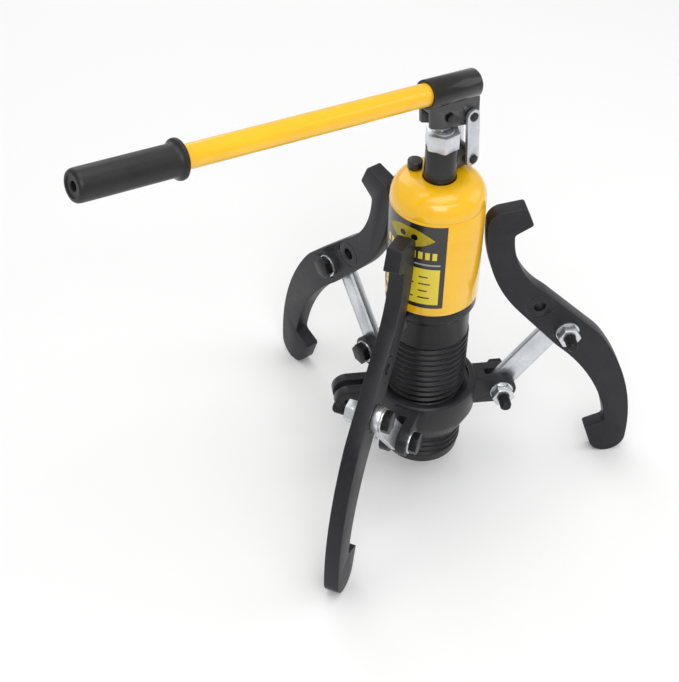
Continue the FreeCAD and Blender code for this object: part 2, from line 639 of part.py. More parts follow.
def carrier_ears(turn):
    name = f"ears_{turn}"
    reach = size("bolt_circle") - 38
    block = box(name + "_block", str(reach), f"2 * {cell('ear_outer')}", f"2 * {cell('ear_radius')}")
    block.Placement = leg_placement(turn, 38, -size("ear_outer"), size("bolt_height") - size("ear_radius"))
    end = cylinder(name + "_end", cell("ear_radius"), f"2 * {cell('ear_outer')}")
    end.Placement = leg_placement(turn, size("bolt_circle"), -size("ear_outer"), size("bolt_height")) * \
        FreeCAD.Placement(Vector(), FreeCAD.Rotation(UP, ACROSS))
    return [block, end]


def carrier_slots(turn):
    name = f"slot_{turn}"
    slot = box(name, "60", f"2 * {cell('ear_inner')}", "60")
    slot.Placement = leg_placement(turn, size("slot_bottom"), -size("ear_inner"), size("bolt_height") - 30)
    hole = cylinder(name + "_hole", f"{cell('bolt_radius')} + {cell('hole_play')}", "40")
    hole.Placement = leg_placement(turn, size("bolt_circle"), -20, size("bolt_height")) * \
        FreeCAD.Placement(Vector(), FreeCAD.Rotation(UP, ACROSS))
    return [slot, hole]


all_turns = LEG_TURNS + (SPARE_TURN,)
ears = [piece for turn in all_turns for piece in carrier_ears(turn)]
slots = [piece for turn in all_turns for piece in carrier_slots(turn)]
carrier_bore = cylinder("carrier_clear", cell("carrier_bore"), "120", (0, 0, 0))
finish(cut("carrier_piece", fuse("carrier_solid", [carrier_ring] + ears),
           fuse("carrier_cuts", slots + [carrier_bore])), "jaw_carrier")


# ---------------------------------------------------------------- fasteners
def leg_axis_placement(turn, forward, height, sideways):
    """Placement of a fastener whose own +Z runs along the leg's sideways direction."""
    return leg_placement(turn, forward, sideways, height) * \
        FreeCAD.Placement(Vector(), FreeCAD.Rotation(UP, ACROSS))


def bolt(name, length):
    """Hex bolt made along +Z: threaded end at 0, head on top."""
    shank = cylinder(name + "_shank", cell("bolt_radius"), str(length))
    head = hexagon(name + "_head", cell("head_flats"), cell("head_height"), (0, 0, length))
    return fuse(name, [shank, head])


def nut(name):
    outside = hexagon(name + "_hex", cell("head_flats"), cell("nut_thickness"))
    inside = cylinder(name + "_bore", cell("bolt_radius"), "20", (0, 0, -5))
    return cut(name, outside, inside)


def washer(name):
    outside = cylinder(name + "_disc", cell("washer_radius"), cell("washer_thickness"))
    inside = cylinder(name + "_bore", cell("bolt_radius"), "20", (0, 0, -5))
    return cut(name, outside, inside)


def bolted_set(name, turn, forward, height, low_face, high_face):
    """Bolt, nut and two washers across one joint, clamping between two sideways faces."""
    gap = 0.05
    thickness = size("washer_thickness")
    nut_low = low_face - gap - thickness - size("nut_thickness")
    tail = nut_low - size("thread_tail")
    length = high_face + gap + thickness - tail
    pieces = {
        "bolt": (bolt(name + "_bolt", length), tail),
        "nut": (nut(name + "_nut"), nut_low),
        "low": (washer(name + "_low_washer"), low_face - gap - thickness),
        "high": (washer(name + "_high_washer"), high_face + gap),
    }
    for piece, sideways in pieces.values():
        piece.Placement = leg_axis_placement(turn, forward, height, sideways)
    return {key: piece for key, (piece, _) in pieces.items()}


carrier_sets = [
    bolted_set(f"carrier_{number}", turn, size("bolt_circle"), size("bolt_height"),
               -size("ear_outer"), size("ear_outer"))
    for number, turn in enumerate(LEG_TURNS, start=1)
]
finish(group("carrier_bolt_group", [item["bolt"] for item in carrier_sets]), "carrier_bolts")
finish(group("carrier_nut_group", [item["nut"] for item in carrier_sets]), "carrier_nuts")
finish(group("carrier_washer_group",
             [item[side] for item in carrier_sets for side in ("low", "high")]), "carrier_washers")

# ---------------------------------------------------------------- links and jaws
link_slope = math.radians(size("link_angle"))
JAW_X = size("bolt_circle") + size("link_length") * math.cos(link_slope)
JAW_Z = size("bolt_height") + size("link_length") * math.sin(link_slope)
jaw_slope = math.radians(size("jaw_slope"))
SPARE_X = JAW_X + size("hole_spacing") * math.cos(jaw_slope)
SPARE_Z = JAW_Z + size("hole_spacing") * math.sin(jaw_slope)


def link_plate(number, turn):
    """Round-ended strip from the carrier's bolt to the jaw's bolt."""
    name = f"link_{number}"
    half_width = size("link_width") / 2
    half_thick = size("link_thickness") / 2
    ends = [0.0, size("link_length")]
    solid = fuse(name + "_solid", [
        box(name + "_strip", cell("link_length"), cell("link_thickness"), cell("link_width"),
            (0, -half_thick, -half_width)),
    ] + [
        cylinder(f"{name}_end_{order}", f"{cell('link_width')} / 2", cell("link_thickness"),
                 (along, -half_thick, 0), ACROSS)
        for order, along in enumerate(ends)
    ])
    holes = fuse(name + "_holes", [
        cylinder(f"{name}_hole_{order}", f"{cell('bolt_radius')} + {cell('hole_play')}", "20",
                 (along, -10, 0), ACROSS)
        for order, along in enumerate(ends)
    ])
    plate = cut(name, solid, holes)
    plate.Placement = leg_placement(turn, size("bolt_circle"), 0, size("bolt_height")) * \
        FreeCAD.Placement(Vector(), FreeCAD.Rotation(ACROSS, -size("link_angle")))
    return plate


# Corners of the jaw outline that the forging leaves round, with their radii.
JAW_ROUNDS = [
    ("bends", 70.0, [(144.5, 122.0), (92.5, 173.0), (70.5, 155.5), (108.0, 112.5)]),
    ("tips", 2.5, [(145.5, 8.0), (152.5, -12.0), (75.5, 244.0), (68.0, 261.5), (47.5, 258.0)]),
    ("roots", 4.0, [(163.0, 14.5), (61.0, 235.0), (38.6, 244.0), (184.0, -6.0)]),
]


def jaw_outline(sketch):
    """Side view of a jaw at rest, in the leg's plane: forward and up from the frame's origin."""
    hook_root = Vector(184.0, -6.0, 0)
    bow_end = Vector(144.5, 122.0, 0)
    arm_end = Vector(92.5, 173.0, 0)
    heel_corner = Vector(61.0, 235.0, 0)
    heel_low = Vector(75.5, 244.0, 0)
    heel_tip = Vector(68.0, 261.5, 0)
    heel_top = Vector(47.5, 258.0, 0)
    back_top = Vector(38.6, 244.0, 0)
    back_low = Vector(70.5, 155.5, 0)
    arm_low = Vector(108.0, 112.5, 0)
    throat = Vector(163.0, 14.5, 0)
    hook_tip = Vector(145.5, 8.0, 0)
    hook_low = Vector(152.5, -12.0, 0)
    curves = [
        Part.Arc(hook_root, Vector(175.5, 60.0, 0), bow_end),
        Part.LineSegment(bow_end, arm_end),
        Part.Arc(arm_end, Vector(69.5, 200.0, 0), heel_corner),
        Part.LineSegment(heel_corner, heel_low),
        Part.LineSegment(heel_low, heel_tip),
        Part.LineSegment(heel_tip, heel_top),
        Part.Arc(heel_top, Vector(40.8, 253.0, 0), back_top),
        Part.Arc(back_top, Vector(46.5, 197.0, 0), back_low),
        Part.LineSegment(back_low, arm_low),
        Part.Arc(arm_low, Vector(145.5, 65.0, 0), throat),
        Part.LineSegment(throat, hook_tip),
        Part.LineSegment(hook_tip, hook_low),
        Part.Arc(hook_low, Vector(169.0, -22.0, 0), hook_root),
    ]
    for curve in curves:
        sketch.addGeometry(curve, False)


def jaw(number, turn, side):
    """Forged jaw: flat S-shaped bar with raised pads round its two holes."""
    name = f"jaw_{number}"
    body = doc.addObject("PartDesign::Body", name + "_body")
    sketch = new_sketch(body, name + "_outline", "XZ_Plane")
    jaw_outline(sketch)
    pad = body.newObject("PartDesign::Pad", name + "_pad")
    pad.Profile = sketch
    pad.Midplane = True
    bind(pad, Length=cell("jaw_thickness"))
    body.Tip = pad
    rounded = pad
    for label, radius, corners in JAW_ROUNDS:
        doc.recompute()
        rounded = round_edge(body, rounded, edges_across(body.Shape, corners), str(radius), f"{name}_{label}")
    holes = fuse(name + "_holes", [
        cylinder(f"{name}_hole_{order}", f"{cell('bolt_radius')} + {cell('hole_play')}", "40",
                 (x_place, -20, z_place), ACROSS)
        for order, (x_place, z_place) in enumerate(((JAW_X, JAW_Z), (SPARE_X, SPARE_Z)))
    ])
    drilled = cut(name, body, holes)
    middle = size("link_thickness") / 2 + size("jaw_gap") + size("jaw_thickness") / 2
    drilled.Placement = leg_placement(turn, 0, side * middle, 0)
    return drilled


plate_face = size("link_thickness") / 2
jaw_face = plate_face + size("jaw_gap") + size("jaw_thickness")
for number, turn in enumerate(LEG_TURNS, start=1):
    side = 1 if number == 2 else -1
    finish(link_plate(number, turn), f"link_plate_{number}")
    finish(jaw(number, turn, side), f"jaw_{number}")
    faces = (-plate_face, jaw_face) if side > 0 else (-jaw_face, plate_face)
    fastener = bolted_set(f"leg_{number}", turn, JAW_X, JAW_Z, *faces)
    finish(fastener["bolt"], f"jaw_bolt_{number}")
    finish(fastener["nut"], f"jaw_nut_{number}")
    finish(group(f"leg_{number}_washers", [fastener["low"], fastener["high"]]), f"jaw_washers_{number}")

# ---------------------------------------------------------------- check and write
doc.recompute()
failed = [item.Label for item in doc.Objects if "Invalid" in item.State or "Error" in item.State]
if failed:
    raise RuntimeError(f"objects that failed: {failed}")
os.makedirs("parts", exist_ok=True)
for item in parts:
    shape = item.Shape
    if shape.isNull() or not shape.isValid() or shape.Volume <= 0:
        raise RuntimeError(f"bad shape: {item.Label}")
    shape.exportStep(f"parts/{item.Label}.step")
    print(f"{item.Label:18s} solids {len(shape.Solids)} volume {shape.Volume:10.1f}")
print("jaw bolt at", round(JAW_X, 3), round(JAW_Z, 3), "spare hole at", round(SPARE_X, 3), round(SPARE_Z, 3))
print(len(parts), "sub-parts")
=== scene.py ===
# %% [markdown]
# # A hydraulic gear puller, piece by piece
# The tool is a fat threaded cylinder with its own hand pump. A cast nut with ears runs on the
# thread, and three forged jaws hang from it on zinc-plated links. The engineering model gives
# the place of every piece, so this lesson only adds what the eye wants: soft edges, real screw
# threads, print on the label, paint, zinc and forged steel. We load that model first and note
# its box, because the finished model has to stay inside it.

# %% Load the engineering model
import json
import math

import bmesh
import bpy
from mathutils import Matrix, Vector


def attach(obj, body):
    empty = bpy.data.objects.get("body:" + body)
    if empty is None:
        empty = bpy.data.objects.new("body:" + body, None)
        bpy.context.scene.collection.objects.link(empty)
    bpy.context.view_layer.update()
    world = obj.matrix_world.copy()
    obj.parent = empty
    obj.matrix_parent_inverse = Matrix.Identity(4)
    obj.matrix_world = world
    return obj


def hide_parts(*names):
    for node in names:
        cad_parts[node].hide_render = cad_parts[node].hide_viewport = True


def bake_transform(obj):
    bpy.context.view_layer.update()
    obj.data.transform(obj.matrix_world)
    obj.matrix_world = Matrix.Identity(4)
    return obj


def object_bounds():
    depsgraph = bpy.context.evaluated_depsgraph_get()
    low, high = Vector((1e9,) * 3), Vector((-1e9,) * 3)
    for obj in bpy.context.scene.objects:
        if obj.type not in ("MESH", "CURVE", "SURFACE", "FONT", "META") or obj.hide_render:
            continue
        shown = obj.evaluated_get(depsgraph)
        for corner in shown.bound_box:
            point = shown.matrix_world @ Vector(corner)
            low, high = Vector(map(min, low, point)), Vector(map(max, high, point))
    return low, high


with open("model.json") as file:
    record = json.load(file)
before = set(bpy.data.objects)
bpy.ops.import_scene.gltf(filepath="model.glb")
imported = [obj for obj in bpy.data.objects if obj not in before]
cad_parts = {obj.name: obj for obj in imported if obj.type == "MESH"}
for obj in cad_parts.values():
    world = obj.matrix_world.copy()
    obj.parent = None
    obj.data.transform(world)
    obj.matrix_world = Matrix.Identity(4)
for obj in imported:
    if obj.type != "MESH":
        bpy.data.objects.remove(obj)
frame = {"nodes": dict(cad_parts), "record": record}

CAD_LOW, CAD_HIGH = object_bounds()
NODES = frame["nodes"]

# %% [markdown]
# ## The camera
# The tool is seen from above and from its right, as a shopper would turn it in the hand. A long
# lens keeps the jaws from looking swollen. The eye is set out from a point on the cylinder's
# axis and moved a little across the view, and the aim is turned slightly off that point, which
# centres a tool whose handle reaches far to one side. The last angle is a small camera roll.

# %% Camera
MM = 0.001
VIEW_AZIMUTH, VIEW_ELEVATION = math.radians(-39.83), math.radians(42.38)
VIEW_ROLL = math.radians(2.15)
VIEW_DISTANCE = 1398.2 * MM
EYE_OFFSET = (54.36 * MM, -50.96 * MM)
AIM_HEIGHT = 53.2 * MM
AIM_TURN = (0.0131, 0.0044)
FOCAL_LENGTH = 85.0
NEAREST, FARTHEST = 0.05, 50


def place_camera():
    """Set the camera at its angle and distance, with its own roll, and make it the active one."""
    out = Vector((math.sin(VIEW_AZIMUTH) * math.cos(VIEW_ELEVATION),
                  -math.cos(VIEW_AZIMUTH) * math.cos(VIEW_ELEVATION), math.sin(VIEW_ELEVATION)))
    level = Vector((math.cos(VIEW_AZIMUTH), math.sin(VIEW_AZIMUTH), 0))
    upright = out.cross(level)
    right = math.cos(VIEW_ROLL) * level + math.sin(VIEW_ROLL) * upright
    up = -math.sin(VIEW_ROLL) * level + math.cos(VIEW_ROLL) * upright
    eye = Vector((0, 0, AIM_HEIGHT)) - EYE_OFFSET[0] * right - EYE_OFFSET[1] * up
    eye = eye + VIEW_DISTANCE * out
    towards = (-out - AIM_TURN[0] * right - AIM_TURN[1] * up).normalized()
    side = towards.cross(up).normalized()
    top = side.cross(towards)
    lens = bpy.data.cameras.new("studio_camera")
    lens.lens = FOCAL_LENGTH
    lens.clip_start, lens.clip_end = NEAREST, FARTHEST
    camera = bpy.data.objects.new("studio_camera", lens)
    bpy.context.scene.collection.objects.link(camera)
    camera.matrix_world = Matrix((side, top, -towards)).transposed().to_4x4()
    camera.location = eye
    bpy.context.scene.camera = camera
    print("camera at", [round(value, 3) for value in eye])


place_camera()

# %% [markdown]
# ## Small workshop of mesh helpers
# Most pieces of a puller are turned on a lathe, bolted or cut from plate. A lathe is one spin of
# a drawn profile. A cut or forged piece starts as a copy of its engineering shape: doubled
# points are merged, flat areas dissolved to single faces, and the sharp edges bevelled, because
# no real edge is perfectly sharp and the thin highlight along it is what makes metal look real.

# %% Mesh helpers
TURN = math.tau
SPIN_STEPS = 112
MERGE = 1e-6
RIDGE_HALF_ROOT, RIDGE_HALF_CREST = 0.42, 0.12


def lathe(bm, profile, closed=False, steps=SPIN_STEPS):
    """Spin a chain of (radius, height) points in millimetres round Z; gives the new vertices."""
    before = set(bm.verts)
    chain = [bm.verts.new((radius * MM, 0, height * MM)) for radius, height in profile]
    pairs = list(zip(chain, chain[1:])) + ([(chain[-1], chain[0])] if closed else [])
    edges = [bm.edges.new(pair) for pair in pairs]
    bmesh.ops.spin(bm, geom=chain + edges, cent=(0, 0, 0), axis=(0, 0, 1), angle=TURN,
                   steps=steps, use_merge=True)
    bmesh.ops.remove_doubles(bm, verts=[v for v in bm.verts if v not in before], dist=MERGE)
    return [v for v in bm.verts if v not in before]


def screw_ridge(bm, root, crest, pitch, start, turns, steps=40):
    """A right-hand thread ridge: its section is carried round and up at once. The section's
    half widths at root and crest are parts of the pitch."""
    before = set(bm.verts)
    section = [(root, -RIDGE_HALF_ROOT), (crest, -RIDGE_HALF_CREST),
               (crest, RIDGE_HALF_CREST), (root, RIDGE_HALF_ROOT)]
    corners = [bm.verts.new((radius * MM, 0, (start + part * pitch) * MM))
               for radius, part in section]
    edges = [bm.edges.new(pair) for pair in zip(corners, corners[1:] + corners[:1])]
    count = int(steps * turns)
    bmesh.ops.spin(bm, geom=corners + edges, cent=(0, 0, 0), axis=(0, 0, 1), angle=TURN * turns,
                   dvec=(0, 0, pitch * turns * MM / count), steps=count)
    made = [v for v in bm.verts if v not in before]
    rim = {edge for vert in made for edge in vert.link_edges if edge.is_boundary}
    bmesh.ops.holes_fill(bm, edges=list(rim), sides=4)
    return made


def turn_to(bm, verts, start, direction):
    """Carry a piece made along +Z to a start point, lying along a direction."""
    spin = Vector((0, 0, 1)).rotation_difference(Vector(direction)).to_matrix().to_4x4()
    bmesh.ops.transform(bm, matrix=Matrix.Translation(Vector(start) * MM) @ spin, verts=verts)


def finish_piece(bm, name, body, finish, stands_for=(), sharp=32, outside=True):
    """Turn a bmesh into a piece that rides on a body and wears a finish."""
    if outside:
        bmesh.ops.recalc_face_normals(bm, faces=bm.faces)
    mesh = bpy.data.meshes.new(name)
    bm.to_mesh(mesh)
    bm.free()
    mesh.shade_smooth()
    mesh.set_sharp_from_angle(angle=math.radians(sharp))
    for coat in (finish if isinstance(finish, (list, tuple)) else [finish]):
        mesh.materials.append(coat)
    piece = bpy.data.objects.new(name, mesh)
    bpy.context.scene.collection.objects.link(piece)
    if body:
        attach(piece, body)
    if stands_for:
        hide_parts(*stands_for)
    print(f"{name}: {len(mesh.polygons)} faces")
    return piece


SHARP_EDGE, FLAT_ENOUGH, BEVEL_SEGMENTS = math.radians(30), math.radians(0.5), 2


def softened(node, width):
    """A copy of an engineering shape with every sharp edge bevelled, in a new bmesh."""
    bm = bmesh.new()
    bm.from_mesh(NODES[node].data)
    bmesh.ops.remove_doubles(bm, verts=bm.verts, dist=MERGE)
    bmesh.ops.dissolve_degenerate(bm, dist=MERGE, edges=bm.edges)
    bmesh.ops.dissolve_limit(bm, angle_limit=FLAT_ENOUGH, verts=bm.verts, edges=bm.edges)
    edges = [edge for edge in bm.edges
             if len(edge.link_faces) == 2 and edge.calc_face_angle(0) > SHARP_EDGE]
    bmesh.ops.bevel(bm, geom=edges, offset=width * MM, offset_type="OFFSET",
                    segments=BEVEL_SEGMENTS, profile=0.5, affect="EDGES", clamp_overlap=True,
                    material=-1)
    return bm


# %% [markdown]
# ## Shared surface effects
# Three things happen to nearly every surface here: its tone drifts a little, its edges are
# painted lighter, partly as real wear and on the forged jaws also as a painted highlight along
# the chamfers, and a fine relief breaks up its highlights. Each is one node group that every
# finish reuses with its own numbers. The edge mask compares the true normal with one that is
# rounded over a small radius, so it works on any mesh without a texture map.

# %% Node group helpers


def new_group(name, inputs, outputs):
    """A shader node group with named sockets; gives its tree, its input and its output node."""
    tree = bpy.data.node_groups.new(name, "ShaderNodeTree")
    for label, kind, value in inputs:
        socket = tree.interface.new_socket(name=label, in_out="INPUT", socket_type=kind)
        if value is not None:
            socket.default_value = value
    for label, kind in outputs:
        tree.interface.new_socket(name=label, in_out="OUTPUT", socket_type=kind)
    return tree, tree.nodes.new("NodeGroupInput"), tree.nodes.new("NodeGroupOutput")


def put(tree, kind, links=None, **settings):
    """Add a node and link sockets to its inputs by number. A setting called in_N is the value of
    input N, and any other setting is a property of the node."""
    node = tree.nodes.new("ShaderNode" + kind)
    for key, value in settings.items():
        if key.startswith("in_"):
            node.inputs[int(key[3:])].default_value = value
        else:
            setattr(node, key, value)
    for index, source in (links or {}).items():
        tree.links.new(source, node.inputs[index])
    return node


def maths(tree, operation, first, second=None, clamp=False):
    """One Math node on sockets or plain numbers."""
    node = tree.nodes.new("ShaderNodeMath")
    node.operation = operation
    node.use_clamp = clamp
    for index, value in enumerate((first, second)):
        if value is None:
            continue
        if isinstance(value, (int, float)):
            node.inputs[index].default_value = value
        else:
            tree.links.new(value, node.inputs[index])
    return node.outputs[0]


FLOAT, COLOUR, VECTOR = "NodeSocketFloat", "NodeSocketColor", "NodeSocketVector"

# %% Group: edge wear and painted edge highlight


CORNER_GAIN, BREAKUP_GAIN = 6.0, 1.6
BREAKUP_SCALE, BREAKUP_DETAIL = 220.0, 4.0


def build_edge_wear_and_sheen():
    """Mask of the rounded corners, broken up by a noise so that the wear and the painted edge
    highlight are patchy.
    """
    tree, inside, outside = new_group(
        "edge wear and sheen", [("Radius", FLOAT, 0.0006), ("Amount", FLOAT, 1.0), ("Vector", VECTOR, None)],
        [("Mask", FLOAT)])
    bevel = put(tree, "Bevel", {0: inside.outputs["Radius"]}, samples=6)
    true_normal = put(tree, "NewGeometry")
    match = put(tree, "VectorMath", {0: bevel.outputs[0], 1: true_normal.outputs["Normal"]},
                operation="DOT_PRODUCT")
    turned = maths(tree, "SUBTRACT", 1.0, match.outputs["Value"])
    corner = maths(tree, "MULTIPLY", turned, CORNER_GAIN, clamp=True)
    grain = put(tree, "TexNoise", {0: inside.outputs["Vector"]}, in_2=BREAKUP_SCALE, in_3=BREAKUP_DETAIL)
    broken_up = maths(tree, "MULTIPLY", grain.outputs[0], BREAKUP_GAIN, clamp=True)
    patchy = maths(tree, "MULTIPLY", corner, broken_up)
    tree.links.new(maths(tree, "MULTIPLY", patchy, inside.outputs["Amount"], clamp=True),
                   outside.inputs["Mask"])
    return tree


EDGE_WEAR_AND_SHEEN = build_edge_wear_and_sheen()

# %% Group: tone drift


SLOW_SHARE, FAST_SHARE, FAST_TIMES = 0.7, 0.3, 9.0
SLOW_DETAIL, FINE_DETAIL, SOFT_DETAIL = 5.0, 3.0, 2.0
NOISE_LOW, NOISE_HIGH = 0.36, 0.64


def build_tone_drift():
    """Mixes two tones by a slow and a fast noise, and gives a roughness that follows them."""
    tree, inside, outside = new_group(
        "tone drift",
        [("Tone", COLOUR, (0.5, 0.5, 0.5, 1)), ("Second tone", COLOUR, (0.4, 0.4, 0.4, 1)),
         ("Scale", FLOAT, 30.0), ("Low roughness", FLOAT, 0.3), ("High roughness", FLOAT, 0.45),
         ("Vector", VECTOR, None)],
        [("Color", COLOUR), ("Roughness", FLOAT)])
    slow = put(tree, "TexNoise", {0: inside.outputs["Vector"], 2: inside.outputs["Scale"]},
               in_3=SLOW_DETAIL)
    fast_scale = maths(tree, "MULTIPLY", inside.outputs["Scale"], FAST_TIMES)
    fast = put(tree, "TexNoise", {0: inside.outputs["Vector"], 2: fast_scale}, in_3=FINE_DETAIL)
    mixed = maths(tree, "ADD", maths(tree, "MULTIPLY", slow.outputs[0], SLOW_SHARE),
                  maths(tree, "MULTIPLY", fast.outputs[0], FAST_SHARE))
    spread = put(tree, "MapRange", {0: mixed}, in_1=NOISE_LOW, in_2=NOISE_HIGH)
    blend = put(tree, "Mix", {0: spread.outputs[0], 6: inside.outputs["Tone"],
                              7: inside.outputs["Second tone"]}, data_type="RGBA")
    rough = put(tree, "MapRange", {0: spread.outputs[0], 3: inside.outputs["Low roughness"],
                                   4: inside.outputs["High roughness"]})
    tree.links.new(blend.outputs[2], outside.inputs["Color"])
    tree.links.new(rough.outputs[0], outside.inputs["Roughness"])
    return tree


TONE_DRIFT = build_tone_drift()

# %% Group: skin relief


def build_skin_relief():
    """Height of a skin: a fine grain, and soft lumps such as a casting or a thick coat has."""
    tree, inside, outside = new_group(
        "skin relief",
        [("Grain scale", FLOAT, 900.0), ("Grain", FLOAT, 0.3), ("Lump scale", FLOAT, 90.0),
         ("Lumps", FLOAT, 0.3), ("Vector", VECTOR, None)],
        [("Height", FLOAT)])
    grain = put(tree, "TexNoise", {0: inside.outputs["Vector"], 2: inside.outputs["Grain scale"]},
                in_3=FINE_DETAIL)
    lumps = put(tree, "TexNoise", {0: inside.outputs["Vector"], 2: inside.outputs["Lump scale"]},
                in_3=SOFT_DETAIL)
    total = maths(tree, "ADD", maths(tree, "MULTIPLY", grain.outputs[0], inside.outputs["Grain"]),
                  maths(tree, "MULTIPLY", lumps.outputs[0], inside.outputs["Lumps"]))
    tree.links.new(total, outside.inputs["Height"])
    return tree


SKIN_RELIEF = build_skin_relief()
print("groups", [group.name for group in bpy.data.node_groups])

# %% [markdown]
# ## Finishes
# Each finish is a Principled shader fed by the three groups. What differs is the tone, how shiny
# it is, how metallic, and how rough the skin under it: enamel lies in a thick glossy coat,
# oxide black is thin and shows the forging, zinc is a bright grey with a soft spangle.

# %% Finish maker
COAT_ROUGHNESS = 0.08


def finish_of(name, tone, second, rough, metallic=0.0, drift=30.0, wear_and_sheen_tone=None, wear_and_sheen=0.0,
              wear_and_sheen_radius=0.0006, grain=(900.0, 0.3), lumps=(90.0, 0.3), bump=0.00005, coat=0.0,
              specular=0.5):
    """A finish from two tones and a (low, high) roughness. Grain and lumps are (scale, amount)
    pairs, and wear_and_sheen_radius and bump are in metres."""
    material = bpy.data.materials.new(name)
    material.use_nodes = True
    tree = material.node_tree
    shader = tree.nodes["Principled BSDF"]
    shader.inputs["Metallic"].default_value = metallic
    shader.inputs["Specular IOR Level"].default_value = specular
    shader.inputs["Coat Weight"].default_value = coat
    shader.inputs["Coat Roughness"].default_value = COAT_ROUGHNESS
    places = put(tree, "TexCoord").outputs["Object"]
    tones = put(tree, "Group", node_tree=TONE_DRIFT)
    tones.inputs["Tone"].default_value = (*tone, 1)
    tones.inputs["Second tone"].default_value = (*second, 1)
    tones.inputs["Scale"].default_value = drift
    tones.inputs["Low roughness"].default_value = rough[0]
    tones.inputs["High roughness"].default_value = rough[1]
    tree.links.new(places, tones.inputs["Vector"])
    colour = tones.outputs["Color"]
    # Lighter edge tone: real wear, and on the forged jaws also a painted highlight along the
    # chamfers.
    if wear_and_sheen_tone:
        edges = put(tree, "Group", node_tree=EDGE_WEAR_AND_SHEEN)
        edges.inputs["Radius"].default_value = wear_and_sheen_radius
        edges.inputs["Amount"].default_value = wear_and_sheen
        tree.links.new(places, edges.inputs["Vector"])
        shown = put(tree, "Mix", {0: edges.outputs["Mask"], 6: colour}, data_type="RGBA")
        shown.inputs[7].default_value = (*wear_and_sheen_tone, 1)
        colour = shown.outputs[2]
    tree.links.new(colour, shader.inputs["Base Color"])
    tree.links.new(tones.outputs["Roughness"], shader.inputs["Roughness"])
    relief = put(tree, "Group", node_tree=SKIN_RELIEF)
    relief.inputs["Grain scale"].default_value, relief.inputs["Grain"].default_value = grain
    relief.inputs["Lump scale"].default_value, relief.inputs["Lumps"].default_value = lumps
    tree.links.new(places, relief.inputs["Vector"])
    raised = put(tree, "Bump", {"Height": relief.outputs["Height"]})
    raised.inputs["Strength"].default_value = 1.0
    raised.inputs["Distance"].default_value = bump
    tree.links.new(raised.outputs[0], shader.inputs["Normal"])
    return material


